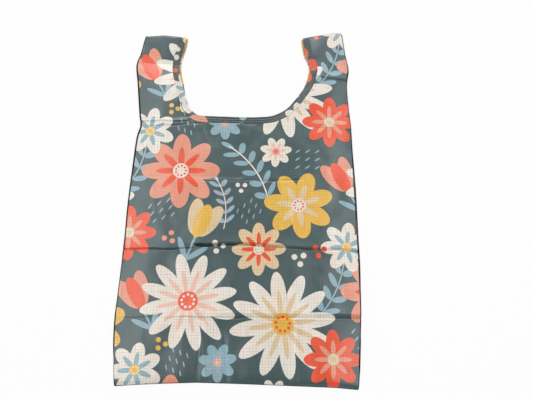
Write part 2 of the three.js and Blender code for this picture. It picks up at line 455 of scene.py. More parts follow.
def from_edges(x, h):
    """The distances of each point from the nearer side and from the neck."""
    side = np.minimum(x - left_edge(h), right_edge(h) - x)
    neck, _ = away_from(x, h, neck_curve[::NECK_STRIDE])
    return side, neck


def creased(x, h, z):
    """The level with its creases. Those across stray from the straight, and fade along their way."""
    strayed = h + CREASE_STRAY * waves(x, 0 * h, *STRAY_WAVE)
    for number, crease in enumerate(ACROSS):
        fade = FADE_MEAN + FADE_SPREAD * waves(x, h, FADE_LENGTH, FIRST_FADE_SEED + number)
        z = z + np.clip(fade, *FADE_LIMITS) * folded(x, strayed, *crease)
    for crease in UP_AND_DOWN:
        z = z + folded(x, h, *crease)
    return np.maximum(z, LEAST_LEVEL)


def front_level(x, h):
    """Height of the front cloth over the table."""
    side, neck = from_edges(x, h)
    rise = at(SIDE_RISE, side)
    left = at(LEFT_HANDLE_LIFT, h) - rise * at(LEFT_HANDLE_FLAT, h)
    right = at(RIGHT_HANDLE_LIFT, h)
    z = SEAM_LEVEL + rise * at(RISE_SHARE, h) + np.where(x < 0, left, right)
    z = z - near(neck, NECK_SINK, NECK_SINK_REACH)
    dip_x, dip_h, dip_width, dip_height, dip_depth = DIP
    z = z - dip_depth * np.exp(-(((x - dip_x) / dip_width) ** 2) - ((h - dip_h) / dip_height) ** 2)
    for length, height, seed in WAVES:
        z = z + eased(side, WAVE_REACH) * height * waves(x, h, length, seed)
    z = creased(x, h, z)
    z = z + puckers(x, h, neck, *NECK_PUCKER)
    z = z + puckers(x * SIDE_PUCKER_STRETCH, h, side, *SIDE_PUCKER)
    z = BOTTOM_LEVEL + (z - BOTTOM_LEVEL) * eased(h, at(BOTTOM_REACH, x))
    gathered = puckers(x, h * BOTTOM_PUCKER_STRETCH, h, *BOTTOM_PUCKER)
    z = z + gathered * eased(h, BOTTOM_PUCKER_START)
    return TOP_LEVEL + (z - TOP_LEVEL) * eased(HANDLE_TOP + drift(x, HANDLE_TOP) - h, TOP_REACH)


print("front level at the middle", float(front_level(*MIDDLE)), "mm")

# %% [markdown]
# ## The level of the back cloth
#
# The back lies on the table, so it is nearly flat. It lifts a little at its seams and at the neck, where
# the binding's folded layers lie under it.

# %% Level of the back
BACK_LEVEL = 0.75
BACK_WAVES = [(70, 0.25, 4.4), (24, 0.1, 6.6)]
# Lifts have a height and a reach from the edge
BACK_SIDE_LIFT = (0.5, 8)
BACK_NECK_LIFT = (0.8, 12)
BACK_BOTTOM_LIFT = (0.5, 10)
BACK_LEAST = 0.3


def back_level(x, h):
    """Height of the back cloth over the table."""
    side, neck = from_edges(x, h)
    z = BACK_LEVEL + near(np.maximum(side, 0), *BACK_SIDE_LIFT) + near(neck, *BACK_NECK_LIFT)
    for length, height, seed in BACK_WAVES:
        z = z + height * waves(x, h, length, seed)
    return np.maximum(z + near(h, *BACK_BOTTOM_LIFT), BACK_LEAST)


print("back level at the middle", float(back_level(*MIDDLE)), "mm")

# %% [markdown]
# ## Rows of points for a panel
#
# A panel has a body and two handles round an open neck. One flat grid with the neck cut out would leave
# ragged steps along the curve. So the rows are laid in blocks instead: below the neck each row runs from
# seam to seam, under the neck the rows bend until the last one is the neck edge itself, and above its
# corners each handle has rows of its own. Rows lie closer where the cloth folds.

# %% Lay out a panel in blocks of rows
BODY_FOLD, LIP_HINGE, HANDLE_FOLD = [(joint["pos_m"][1] - bottom_y) / MM for joint in frame["joints"][:3]]
BACK_TURN = 16
BEND_HEIGHTS = [BODY_FOLD, BODY_FOLD + BACK_TURN, HANDLE_FOLD, HANDLE_FOLD + BACK_TURN]
FOLD_HEIGHTS = [106, 335, 434, 442, 527, 549, HANDLE_TOP, *BEND_HEIGHTS]
FINE_WITHIN = 9
TOP_ROUND = 5
FRONT_STEP = 3.2
FRONT_FINE = 0.9
FRONT_CORNER = 467


def heights_between(low, high, step, fine):
    """Heights of rows, closer together near the folds."""
    heights = [low]
    while heights[-1] < high:
        nearest = min(abs(heights[-1] - fold) for fold in FOLD_HEIGHTS)
        heights.append(heights[-1] + (fine if nearest < FINE_WITHIN else step))
    return np.array(heights[:-1] + [high])


def spread(a, b, count):
    """Equal steps from a to b, where a and b may be columns of numbers."""
    t = np.linspace(0, 1, count + 1)
    return np.multiply.outer(a, 1 - t) + np.multiply.outer(b, t)


def rounded_in(h):
    """How far the handle's edges turn in at its top corners."""
    left = np.clip(h - (HANDLE_TOP - TOP_ROUND), 0, TOP_ROUND)
    return TOP_ROUND - np.sqrt(TOP_ROUND**2 - left**2)


def corners_of(path, height):
    """Where a neck path first comes down to a height, and where it last leaves it."""
    low = np.flatnonzero(path[:, 1] <= height)
    return low[0], low[-1]


def grid(x, h):
    """A grid of places from the x of each point and the height of each row."""
    return np.dstack(np.broadcast_arrays(x, h[:, None]))


def panel_rows(left, right, neck, split, corner_height, step, fine):
    """The blocks of a panel: lower body, upper body, left handle and right handle, as (x, h) grids."""
    first, last = corners_of(neck, corner_height)
    inner_left, inner_right = neck[first, 0], neck[last, 0]
    turns = [left(corner_height), inner_left, inner_right, right(corner_height)]
    counts = [round(width / step) for width in np.diff(turns)]

    def across(h):
        level = np.ones_like(h)
        blocks = [
            spread(left(h), inner_left * level, counts[0])[:, :-1],
            spread(inner_left * level, inner_right * level, counts[1]),
            spread(inner_right * level, right(h), counts[2])[:, 1:],
        ]
        return np.hstack(blocks)

    low = heights_between(0, split, step, fine)
    high = heights_between(split, corner_height, step, fine)
    lower = grid(across(low), low)
    upper = grid(across(high), high)
    share = ((high - split) / (corner_height - split))[:, None, None]
    middle = slice(counts[0], counts[0] + counts[1] + 1)
    start = upper[0, middle].copy()
    upper[:, middle] = start + (evenly(neck[first:last + 1], counts[1] + 1) - start) * share
    rise = heights_between(corner_height, HANDLE_TOP, step, fine)
    turn = rounded_in(rise)
    inner = at(neck[first::-1, ::-1], rise) - turn
    left_strap = grid(spread(left(rise) + turn, inner, counts[0]), rise)
    inner = at(neck[last:, ::-1], rise) + turn
    right_strap = grid(spread(inner, right(rise) - turn, counts[2]), rise)
    blocks = {"lower": lower, "upper": upper, "left": left_strap, "right": right_strap}
    for rows in blocks.values():
        rows[..., 1] += drift(rows[..., 0], rows[..., 1])
    return blocks, counts


front_blocks, front_counts = panel_rows(
    left_edge, right_edge, neck_curve, LIP_HINGE, FRONT_CORNER, FRONT_STEP, FRONT_FINE
)
for name, rows in front_blocks.items():
    print("front", name, rows.shape[0], "rows of", rows.shape[1], "points")

# %% [markdown]
# ## Turning rows into cloth
#
# Each piece of cloth is an open sheet of four-sided faces with a smooth shading. Every point also
# remembers where it lay on the flat cloth, in millimetres, in an attribute. The print and the ripstop
# grid read that attribute, so they stay on the cloth when it bends in a pose. The same numbers make
# the texture map, which needs no unwrapping.

# %% Mesh helpers
PRINT_PLACE = "cloth_mm"
MAP_NAME = "OFBake"


def new_piece(name, points, faces):
    """A smooth mesh object from points in millimetres, with heights from the bottom seam."""
    mesh = bpy.data.meshes.new(name)
    mesh.from_pydata((points * MM + np.array([0, bottom_y, 0])).tolist(), [], faces)
    mesh.shade_smooth()
    mesh.update()
    piece = bpy.data.objects.new(name, mesh)
    scene.collection.objects.link(piece)
    return piece


def grid_faces(rows, columns, closed=False):
    """Four-sided faces between the rows of a grid. A closed grid joins its last column to its first."""
    index = np.arange(rows * columns).reshape(rows, columns)
    if closed:
        index = np.hstack([index, index[:, :1]])
    a, b = index[:-1, :-1], index[:-1, 1:]
    c, d = index[1:, 1:], index[1:, :-1]
    return np.stack([a, b, c, d], -1).reshape(-1, 4)


def tube_faces(rings, sides):
    """Faces of a tube with a flat end on each side."""
    last = (rings - 1) * sides
    ends = [list(reversed(range(sides))), list(range(last, last + sides))]
    return grid_faces(rings, sides, closed=True).tolist() + ends


def remember_print(piece, where):
    """Keeps each point's place on the flat cloth, for the print and for the texture map."""
    mesh = piece.data
    flat = np.column_stack([where.reshape(-1, 2), np.zeros(where.size // 2)])
    kept = mesh.attributes.new(PRINT_PLACE, "FLOAT_VECTOR", "POINT")
    kept.data.foreach_set("vector", flat.astype(np.float32).ravel())
    low, high = flat[:, :2].min(0), flat[:, :2].max(0)
    corner = np.zeros(len(mesh.loops), np.int32)
    mesh.loops.foreach_get("vertex_index", corner)
    spots = ((flat[:, :2] - low) / (high - low).max())[corner]
    mesh.uv_layers.new(name=MAP_NAME).data.foreach_set("uv", spots.astype(np.float32).ravel())


def flat_area(where, faces):
    """Area of the flat cloth under the faces, in square millimetres."""
    corners = where.reshape(-1, 2)[faces]
    after = np.roll(corners, -1, axis=1)
    turn = corners[..., 0] * after[..., 1] - corners[..., 1] * after[..., 0]
    return np.abs(turn.sum(1)).sum() / 2


def cloth(name, points, where, facing=1):
    """A sheet of cloth from a grid of points, with its outer face up or down."""
    faces = grid_faces(*points.shape[:2])[:, ::facing]
    piece = new_piece(name, points.reshape(-1, 3), faces.tolist())
    remember_print(piece, where)
    piece["flat_m"] = [float(side * MM) for side in np.ptp(where.reshape(-1, 2), axis=0)]
    piece["flat_area"] = float(flat_area(where, faces) * MM * MM)
    return piece


print("mesh helpers ready, print kept as", PRINT_PLACE)

# %% [markdown]
# ## Drawing with math nodes
#
# The print has flat shapes in a few clear colours. An image would be quick, but this scene uses none, so
# each motif is drawn by a node group from the place on the cloth: it moves and turns that place to the
# motif's own centre, then asks whether it lies inside an oval, a circle or a stroke. A cloth print
# repeats, so the groups repeat it too, each column of the repeat dropped by half its height.

# %% Drawing helpers
REPEAT_WIDTH = 330
REPEAT_HEIGHT = 400


def motif_group(name, numbers, colours):
    """A node group for one motif: its sums, what it is given, and its place along and beside."""
    tree = bpy.data.node_groups.new(name, "ShaderNodeTree")
    for label in ("X", "Y", "Centre X", "Centre Y", "Turn", "Size", *numbers):
        tree.interface.new_socket(label, in_out="INPUT", socket_type="NodeSocketFloat")
    for label in ("Below", *colours):
        tree.interface.new_socket(label, in_out="INPUT", socket_type="NodeSocketColor")
    tree.interface.new_socket("Colour", in_out="OUTPUT", socket_type="NodeSocketColor")
    given = {socket.name: socket for socket in tree.nodes.new("NodeGroupInput").outputs}
    do = partial(calc, tree)
    return tree, do, given, *settled(do, given)


def paint_motif(tree, given, masks):
    """Lays the motif's colours over each other and over what lies below."""
    colour = given["Below"]
    for name, mask in masks.items():
        colour = paint(tree, colour, given[name], mask)
    wire(tree, tree.nodes.new("NodeGroupOutput"), {"Colour": colour})
    print(tree.name, "group of", len(tree.nodes), "nodes")


def rotated(do, a, b, cosine, sine):
    """Coordinates turned by an angle."""
    along = do("ADD", do("MULTIPLY", a, cosine), do("MULTIPLY", b, sine))
    beside = do("SUBTRACT", do("MULTIPLY", b, cosine), do("MULTIPLY", a, sine))
    return along, beside


def settled(do, given):
    """The place on the cloth seen from the nearest copy of the motif, as a share of its size."""
    run = do("SUBTRACT", given["X"], given["Centre X"])
    column = do("ROUND", do("DIVIDE", run, REPEAT_WIDTH))
    run = do("SUBTRACT", run, do("MULTIPLY", column, REPEAT_WIDTH))
    rise = do("SUBTRACT", given["Y"], given["Centre Y"])
    rise = do("SUBTRACT", rise, do("MULTIPLY", column, REPEAT_HEIGHT / 2))
    row = do("ROUND", do("DIVIDE", rise, REPEAT_HEIGHT))
    rise = do("SUBTRACT", rise, do("MULTIPLY", row, REPEAT_HEIGHT))
    along, beside = rotated(do, run, rise, do("COSINE", given["Turn"]), do("SINE", given["Turn"]))
    return do("DIVIDE", along, given["Size"]), do("DIVIDE", beside, given["Size"])


def turned(do, a, b, degrees, centre_a=0, centre_b=0):
    """Coordinates seen from a centre and turned by a fixed angle."""
    angle = math.radians(degrees)
    a = do("SUBTRACT", a, centre_a)
    b = do("SUBTRACT", b, centre_b)
    return rotated(do, a, b, math.cos(angle), math.sin(angle))


def within(do, value, limit):
    """1 where a value is less than a limit away from 0."""
    return do("LESS_THAN", do("ABSOLUTE", value), limit)


def in_oval(do, a, b, centre, half_length, half_width):
    """1 inside an oval that lies along a, with its centre on it."""
    run = do("DIVIDE", do("SUBTRACT", a, centre), half_length)
    side = do("DIVIDE", b, half_width)
    return do("LESS_THAN", do("ADD", do("MULTIPLY", run, run), do("MULTIPLY", side, side)), 1)


def in_stroke(do, a, b, low, high, half_width):
    """1 on a straight stroke along a, from low to high."""
    along = within(do, do("SUBTRACT", a, (low + high) / 2), (high - low) / 2)
    return do("MULTIPLY", along, within(do, b, half_width))


def round_and_round(do, a, b, count):
    """The radius, and coordinates along and beside the nearest of a ring of equal spokes."""
    radius = do("SQRT", do("ADD", do("MULTIPLY", a, a), do("MULTIPLY", b, b)))
    half = do("DIVIDE", math.pi, count)
    spoke = do("WRAP", do("ARCTAN2", b, a), half, do("MULTIPLY", half, -1))
    return radius, do("MULTIPLY", radius, do("COSINE", spoke)), do("MULTIPLY", radius, do("SINE", spoke))


print("the print repeats every", REPEAT_WIDTH, "by", REPEAT_HEIGHT, "mm")

# %% [markdown]
# ## A daisy
#
# Petals are one oval, drawn in the nearest of a ring of equal sectors. A heart of another colour up each
# petal and a ring of dots round the eye give the flat shape the layers of a screen print. All sizes are
# shares of the motif's size, and an oval is its centre, half length and half width.

# %% Daisy group
PETAL_SHAPE = ("Petals", "Petal Middle", "Petal Length", "Petal Width")
HEART_MIDDLE = 0.34
HEART_LENGTH = 0.3
HEART_WIDTH = 0.34
EYE_RADIUS = 0.2
DOT_COUNT = 9
DOT_OVAL = (0.13, 0.028, 0.028)
daisy, do, given, a, b = motif_group("daisy", PETAL_SHAPE, ["Petal", "Heart", "Eye", "Dots"])
petals, middle, length, width = [given[name] for name in PETAL_SHAPE]
radius, along, beside = round_and_round(do, a, b, petals)
petal = in_oval(do, along, beside, middle, length, width)
heart = in_oval(do, along, beside, HEART_MIDDLE, HEART_LENGTH, do("MULTIPLY", width, HEART_WIDTH))
_, dot_along, dot_beside = round_and_round(do, a, b, DOT_COUNT)
masks = {
    "Petal": petal,
    "Heart": do("MULTIPLY", petal, heart),
    "Eye": do("LESS_THAN", radius, EYE_RADIUS),
    "Dots": in_oval(do, dot_along, dot_beside, *DOT_OVAL),
}
paint_motif(daisy, given, masks)

# %% [markdown]
# ## A tulip, a leafy sprig, berries and dashes
#
# The tulip is drawn on the absolute distance from its stem, so that one side petal makes both. The
# sprig wraps its length into equal steps, which turns one leaf into a row of them. Berries are a ring of
# three circles, and the dashes a small field of slanting strokes that fills the ground between motifs.

# %% Tulip group, with places as a turn and a centre
SIDE_PETAL_PLACE = (16, 0.3, 0.2)
SIDE_PETAL_OVAL = (0, 0.5, 0.21)
MIDDLE_PETAL_OVAL = (0.24, 0.48, 0.2)
TULIP_LEAF_PLACE = (38, -0.62, 0.2)
TULIP_LEAF_OVAL = (0, 0.32, 0.075)
TULIP_STEM = (-1, 0, 0.028)
tulip, do, given, a, b = motif_group("tulip", [], ["Petal", "Heart", "Stem"])
apart = do("ABSOLUTE", b)
leaf = in_oval(do, *turned(do, a, apart, *TULIP_LEAF_PLACE), *TULIP_LEAF_OVAL)
masks = {
    "Stem": do("MAXIMUM", leaf, in_stroke(do, a, b, *TULIP_STEM)),
    "Petal": in_oval(do, *turned(do, a, apart, *SIDE_PETAL_PLACE), *SIDE_PETAL_OVAL),
    "Heart": in_oval(do, a, b, *MIDDLE_PETAL_OVAL),
}
paint_motif(tulip, given, masks)

# %% Sprig group
SPRIG_BEND = 0.22
LEAF_STEP = 0.34
LEAVES_END = 2.5 * LEAF_STEP
LEAF_PLACE = (52, 0.02, 0.17)
LEAF_OVAL = (0, 0.18, 0.075)
TIP_OVAL = (0.98, 0.16, 0.07)
SPRIG_STEM = (-1, 0.95, 0.018)
sprig, do, given, a, b = motif_group("sprig", [], ["Leaf", "Stem"])
b = do("SUBTRACT", b, do("MULTIPLY", do("MULTIPLY", a, a), SPRIG_BEND))
step = do("WRAP", a, LEAF_STEP / 2, -LEAF_STEP / 2)
leaf = in_oval(do, *turned(do, step, do("ABSOLUTE", b), *LEAF_PLACE), *LEAF_OVAL)
leaf = do("MULTIPLY", leaf, within(do, a, LEAVES_END))
masks = {
    "Leaf": do("MAXIMUM", leaf, in_oval(do, a, b, *TIP_OVAL)),
    "Stem": in_stroke(do, a, b, *SPRIG_STEM),
}
paint_motif(sprig, given, masks)

# %% Berry and dash groups
BERRY_OVAL = (0.62, 0.34, 0.34)
DASH_CELL = (0.3, 0.25)
DASH_FIELD = (0.9, 0.75)
DASH_TURN = 35
DASH_OVAL = (0, 0.19, 0.045)
berries, do, given, a, b = motif_group("berries", ["Count"], ["Berry"])
_, along, beside = round_and_round(do, a, b, given["Count"])
paint_motif(berries, given, {"Berry": in_oval(do, along, beside, *BERRY_OVAL)})

dashes, do, given, *place = motif_group("dashes", [], ["Dash"])
cell = [do("WRAP", value, half, -half) for value, half in zip(place, DASH_CELL)]
dash = in_oval(do, *turned(do, *cell, DASH_TURN), *DASH_OVAL)
inside = do("MULTIPLY", *[within(do, value, half) for value, half in zip(place, DASH_FIELD)])
paint_motif(dashes, given, {"Dash": do("MULTIPLY", dash, inside)})

# %% [markdown]
# ## Colours and layout of the print
#
# The ground is a greyed slate green. The motifs take cream, coral, salmon, blush, mustard, straw and two
# pale blues, and lie loosely over each other, large and small, with leaves and dashes in what is left. The
# colours are written as they look in daylight and turned into the linear values that shaders work in.

# %% Colours
def daylight(red, green, blue):
    """A colour from 0 to 255, as seen, in linear values."""
    seen = np.array([red, green, blue]) / 255
    linear = np.where(seen <= 0.04045, seen / 12.92, ((seen + 0.055) / 1.055) ** 2.4)
    return (*(float(value) for value in linear), 1)


SLATE = daylight(69, 92, 95)
DEEP_SLATE = daylight(51, 75, 78)
CREAM = daylight(242, 237, 226)
CORAL = daylight(245, 84, 38)
SALMON = daylight(238, 160, 133)
BLUSH = daylight(245, 203, 184)
MUSTARD = daylight(241, 193, 76)
STRAW = daylight(233, 208, 166)
PALE_BLUE = daylight(146, 184, 197)
PERIWINKLE = daylight(163, 186, 203)
print("slate ground of", [round(value, 3) for value in SLATE[:3]], "in linear values")

# %% Layout of the print, as x, height, turn in degrees, size in millimetres, then shape and colours
SLIM_PETALS = (12, 0.58, 0.42, 0.142)
BROAD_PETALS = (8, 0.58, 0.42, 0.235)
PLUMP_PETALS = (7, 0.58, 0.42, 0.26)
DAISIES = [
    (70, 95, 8, 84, *SLIM_PETALS, CREAM, STRAW, MUSTARD, CORAL),
    (228, 150, 0, 66, *BROAD_PETALS, SALMON, CORAL, CREAM, CORAL),
    (96, 292, 20, 58, *PLUMP_PETALS, MUSTARD, STRAW, CREAM, CORAL),
    (148, 42, 0, 46, *BROAD_PETALS, CORAL, SALMON, STRAW, CREAM),
    (250, 330, 12, 78, *SLIM_PETALS, CREAM, BLUSH, CORAL, CREAM),
    (172, 222, 30, 42, *PLUMP_PETALS, CREAM, PALE_BLUE, MUSTARD, CREAM),
    (30, 216, 0, 44, *BROAD_PETALS, STRAW, CORAL, CREAM, MUSTARD),
    (300, 236, 15, 30, *PLUMP_PETALS, PALE_BLUE, PERIWINKLE, STRAW, CORAL),
    (56, 385, 10, 27, *PLUMP_PETALS, CREAM, BLUSH, CORAL, CREAM),
]
TULIPS = [
    (262, 48, 70, 62, STRAW, MUSTARD, PALE_BLUE),
    (172, 330, 118, 58, SALMON, CORAL, PALE_BLUE),
]
SPRIGS = [
    (150, 140, 62, 66, PALE_BLUE, PERIWINKLE),
    (22, 352, 125, 64, PALE_BLUE, CREAM),
    (304, 96, 100, 46, PERIWINKLE, CREAM),
]
BERRIES = [
    (128, 214, 20, 13, 3, CORAL),
    (210, 262, 0, 12, 3, MUSTARD),
    (96, 200, 40, 14, 3, CREAM),
    (294, 20, 10, 13, 3, CREAM),
    (216, 34, 70, 13, 3, SALMON),
    (0, 322, 30, 11, 3, CREAM),
]
DASHES = [
    (200, 80, 20, 26, PERIWINKLE),
    (110, 372, 0, 28, PALE_BLUE),
    (236, 236, 70, 24, PERIWINKLE),
    (14, 280, 40, 24, PALE_BLUE),
]
PRINT_LAYERS = [
    (dashes, ("Dash",), DASHES),
    (sprig, ("Leaf", "Stem"), SPRIGS),
    (tulip, ("Petal", "Heart", "Stem"), TULIPS),
    (daisy, (*PETAL_SHAPE, "Petal", "Heart", "Eye", "Dots"), DAISIES),
    (berries, ("Count", "Berry"), BERRIES),
]
print(sum(len(motifs) for _, _, motifs in PRINT_LAYERS), "motifs in a repeat")

# %% [markdown]
# ## The printed ripstop
#
# Ripstop has a thicker thread every few millimetres both ways, which shows as a fine square grid, darker
# than the pale motifs. Over the slate the grid colour is a little lighter, and that is painted sheen of the
# thicker thread. The weave between is too fine to see from a step away, but it breaks up the gloss. The
# same grid drives the bump, so colour and relief agree. The cloth is a thin coated nylon: satin, with a
# little sheen at a slant.

# %% Printed ripstop material, with clouds as a scale per millimetre and a detail
RIPSTOP_PITCH = 4.8
RIPSTOP_LINE = 0.42
RIPSTOP_SHADE = 0.21
LINE_PEAK = 1.6
LINE_SOFTNESS = 0.2
LEAST_LINE = 0.5
CLOUDS = {
    "ground": (0.02, 3),
    "lines": (0.06, 2),
    "tone": (0.25, 3),
    "warmth": (0.022, 2),
    "gloss": (0.15, 2),
    "pucker": (0.22, 1),
}
CLOUD_MEAN = 0.5
CLOUD_SHADE = 0.16
THREAD_STREAKS = [(0.7, 0.03, 0), (0.03, 0.7, 0)]
STREAK_CLOUDS = (1, 2)
STREAK_SHADE = 0.34
WARMTH = (1.03, 0.95, 0.91)
# Mixes have a factor for the clouds and a value to add
GROUND_MIX = (1.6, 0.1)
WARM_MIX = (3, -1)
ROUGHNESS_MIX = (0.14, 0.24)
SATIN = {"Specular IOR Level": 0.8, "Sheen Weight": 0.12, "Sheen Roughness": 0.4}
WEAVE_PITCH = 0.8
WEAVE_RELIEF = 0.25
PUCKER_RELIEF = 3
BUMP_STRENGTH = 0.5
BUMP_MM = 0.06
# Grid thread colour: the real grid over pale motifs, and painted sheen where it lightens the slate
THREAD_TONE_AND_SHEEN = daylight(102, 114, 112)


def printed(tree, x, y, ground):
    """The whole print over a ground colour, motif by motif."""
    colour = ground
    for group, labels, motifs in PRINT_LAYERS:
        for across, up, turn, size, *looks in motifs:
            spot = {"Centre X": across, "Centre Y": up, "Turn": math.radians(turn), "Size": size}
            inputs = {"X": x, "Y": y, "Below": colour, **spot, **dict(zip(labels, looks))}
            colour = new_node(tree, "Group", inputs, node_tree=group).outputs["Colour"]
    return colour


def grid_line(do, value):
    """A soft line of 1 at every step of the ripstop."""
    away = do("ABSOLUTE", do("WRAP", value, RIPSTOP_PITCH / 2, -RIPSTOP_PITCH / 2))
    line = do("SUBTRACT", LINE_PEAK, do("DIVIDE", away, RIPSTOP_LINE))
    return do("SMOOTH_MIN", 1, do("MAXIMUM", line, 0), LINE_SOFTNESS)


def clouds(tree, place, scale, detail):
    """Soft noise over the flat cloth, between 0 and 1."""
    return new_node(tree, "TexNoise", {"Vector": place, "Scale": scale, "Detail": detail}).outputs["Fac"]


def streaks(tree, place, stretch):
    """Noise drawn out along the threads, between 0 and 1."""
    drawn = new_node(tree, "VectorMath", {0: place, 1: stretch}, operation="MULTIPLY")
    return clouds(tree, drawn.outputs["Vector"], *STREAK_CLOUDS)


ripstop, tree, surface = new_material("printed_ripstop")
do = partial(calc, tree)
place = new_node(tree, "Attribute", {}, attribute_name=PRINT_PLACE).outputs["Vector"]
apart = new_node(tree, "SeparateXYZ", {0: place}).outputs
x, y = apart["X"], apart["Y"]
soft = {name: clouds(tree, place, *how) for name, how in CLOUDS.items()}
ground = paint(tree, DEEP_SLATE, SLATE, do("MULTIPLY_ADD", soft["ground"], *GROUND_MIX))
ground.node.name = "ground"
colour = printed(tree, x, y, ground)
lines = do("MAXIMUM", grid_line(do, x), grid_line(do, y))
faded_lines = do("MULTIPLY", lines, do("ADD", soft["lines"], LEAST_LINE))
# The grid's colour mixed in: darker on pale motifs, and painted thread sheen on the slate
colour = paint(tree, colour, THREAD_TONE_AND_SHEEN, do("MULTIPLY", faded_lines, RIPSTOP_SHADE))
streaked = do("ADD", *[streaks(tree, place, stretch) for stretch in THREAD_STREAKS])
tone = do("MULTIPLY_ADD", do("SUBTRACT", streaked, 2 * CLOUD_MEAN), STREAK_SHADE, 1)
tone = do("MULTIPLY_ADD", do("SUBTRACT", soft["tone"], CLOUD_MEAN), CLOUD_SHADE, tone)
toned = new_node(tree, "VectorMath", {"Vector": colour, "Scale": tone}, operation="SCALE").outputs["Vector"]
warm = new_node(tree, "VectorMath", {0: toned, 1: WARMTH}, operation="MULTIPLY").outputs["Vector"]
warmed = do("MULTIPLY_ADD", soft["warmth"], *WARM_MIX, use_clamp=True)
over_under = do("MULTIPLY", *[do("SINE", do("MULTIPLY", v, 2 * math.pi / WEAVE_PITCH)) for v in (x, y)])
relief = do("MULTIPLY_ADD", over_under, WEAVE_RELIEF, lines)
relief = do("MULTIPLY_ADD", soft["pucker"], PUCKER_RELIEF, relief)
bump = new_node(tree, "Bump", {"Strength": BUMP_STRENGTH, "Distance": BUMP_MM * MM, "Height": relief})
looks = {
    "Base Color": paint(tree, toned, warm, warmed),
    "Roughness": do("MULTIPLY_ADD", soft["gloss"], *ROUGHNESS_MIX),
    "Normal": bump.outputs["Normal"],
    **SATIN,
}
wire(tree, surface, looks)
print("printed ripstop of", len(tree.nodes), "nodes")

# %% [markdown]
# ## Binding cloth, with painted shade
#
# The neck binding is cut from the same roll, but folded in four and sewn down hard it lies in its own
# shade, and reads deeper than the panel. That shade is painted: a copy of the finish with a deeper ground
# stands in for it, and leaves the print as it is.

# %% Binding material, its ground darkened as painted shade
# Deeper slates for the binding: painted shade of the folded strip, not a dye of its own
SHADED_BINDING_SLATE = daylight(48, 66, 69)
DEEP_SHADED_BINDING_SLATE = daylight(35, 53, 56)
binding_ripstop = ripstop.copy()
binding_ripstop.name = "binding_ripstop"
tree = binding_ripstop.node_tree
wire(tree, tree.nodes["ground"], {"A": DEEP_SHADED_BINDING_SLATE, "B": SHADED_BINDING_SLATE})
print("binding cloth", binding_ripstop.name, "copied from", ripstop.name)

# %% [markdown]
# ## Seam edge and thread
#
# The side seams are bound with a dark overlock stitch, a ribbed cord of thread round the raw edge, and its
# near-black colour is partly painted shade of the gap along the edge. Its ribs are a slanting wave in the
# bump. The stitching on the neck binding is a slate thread, a little lighter than the cloth, with a twist;
# part of that lightness is a painted highlight of the stitched ridges.

# %% Seam and thread materials
RIB_SCALE = 0.3
RIB_DISTORTION = 1.5
RIB_BUMP_STRENGTH = 0.4
RIB_BUMP_MM = 0.15
THREAD_SHINE = 0.2


def thread_material(name, dark, light, rib_mm, roughness):
    """A wound thread: two tones and a bump across it, from the object's own place."""
    material, tree, surface = new_material(name)
    waved = {
        "Vector": new_node(tree, "TexCoord", {}).outputs["Object"],
        "Scale": RIB_SCALE / (rib_mm * MM),
        "Distortion": RIB_DISTORTION,
    }
    ribs = new_node(tree, "TexWave", waved, bands_direction="DIAGONAL").outputs["Fac"]
    raised = {"Strength": RIB_BUMP_STRENGTH, "Distance": RIB_BUMP_MM * MM, "Height": ribs}
    looks = {
        "Base Color": paint(tree, dark, light, ribs),
        "Roughness": roughness,
        "Specular IOR Level": THREAD_SHINE,
        "Normal": new_node(tree, "Bump", raised).outputs["Normal"],
    }
    wire(tree, surface, looks)
    return material


# Near-black cord: the overlock thread, and also painted shade of the gap along the side edge
DARK_CORD_AND_EDGE_SHADE = (daylight(12, 15, 16), daylight(30, 35, 37))
# Light slate thread: its own colour, and partly a painted highlight of the stitched ridges
SLATE_THREAD_AND_HIGHLIGHT = (daylight(110, 124, 126), daylight(150, 162, 163))
shaded_overlock = thread_material("seam_overlock", *DARK_CORD_AND_EDGE_SHADE, rib_mm=1.2, roughness=0.7)
stitch_thread = thread_material("stitch_thread", *SLATE_THREAD_AND_HIGHLIGHT, rib_mm=0.5, roughness=0.6)
print("overlock and stitch thread ready")

# %% [markdown]
# ## Pieces at a fold
#
# The frame has a joint at each fold. A piece of cloth that crosses one would follow the lower body before it
# and the upper body after it, and turn in between. The hinge runs over the cloth, so the length that would
# turn is about half a circle round it: short for the front, which is near the hinge, and longer for the
# back, which would also turn a little past the fold to keep it out of the table. The bends below hold
# those numbers, but the helpers here only bake each piece's place into its points, so no piece turns and
# the two halves of the front lip are not blended.

# %% Helpers that bake a piece's place, and bends as a way past the fold and a reach
FRONT_BEND = {"body": (0, 7), "handle": (0, 22)}
BACK_BEND = {"body": (BACK_TURN, 52), "handle": (BACK_TURN, 52)}


def bends_at(piece):
    """Bakes the piece's place into its points. It does not turn the piece round a fold."""
    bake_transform(piece)


def bends_with_body(piece):
    bends_at(piece)


def bends_with_handle(piece):
    bends_at(piece)


def bends_with_lip(piece):
    """A half of the front upper cloth, its place baked into its points. It does not lift with the lip."""
    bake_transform(piece)


def finished(piece, material, slot, *nodes):
    """Gives a piece its material and hides the frame nodes that it stands for. The slot is not used."""
    piece.data.materials.append(material)
    if nodes:
        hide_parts(*nodes)
    return piece


for layer, bend in (("front", FRONT_BEND), ("back", BACK_BEND)):
    print("the", layer, "turns within", bend["body"][1], "mm at the body fold")

# %% [markdown]
# ## Front panel and front straps
#
# The front is one cloth. It is parted here only where two joints meet, along the lip hinge, up its middle
# and across the foot of each handle, and each part is made from the same level, so the joins don't show.
# A slow wander of the flat coordinates keeps the print's grid from being ruler-straight.

# %% Make the front cloth
WANDER = 1.6
WANDER_LENGTH = 85
WANDER_SEEDS = (31.0, 47.0)


def wander(x, h):
    """Flat place of each point, a little off the straight, as handled cloth is."""
    moves = [WANDER * waves(x, h, WANDER_LENGTH, seed) for seed in WANDER_SEEDS]
    return np.dstack([x + moves[0], h + moves[1]])


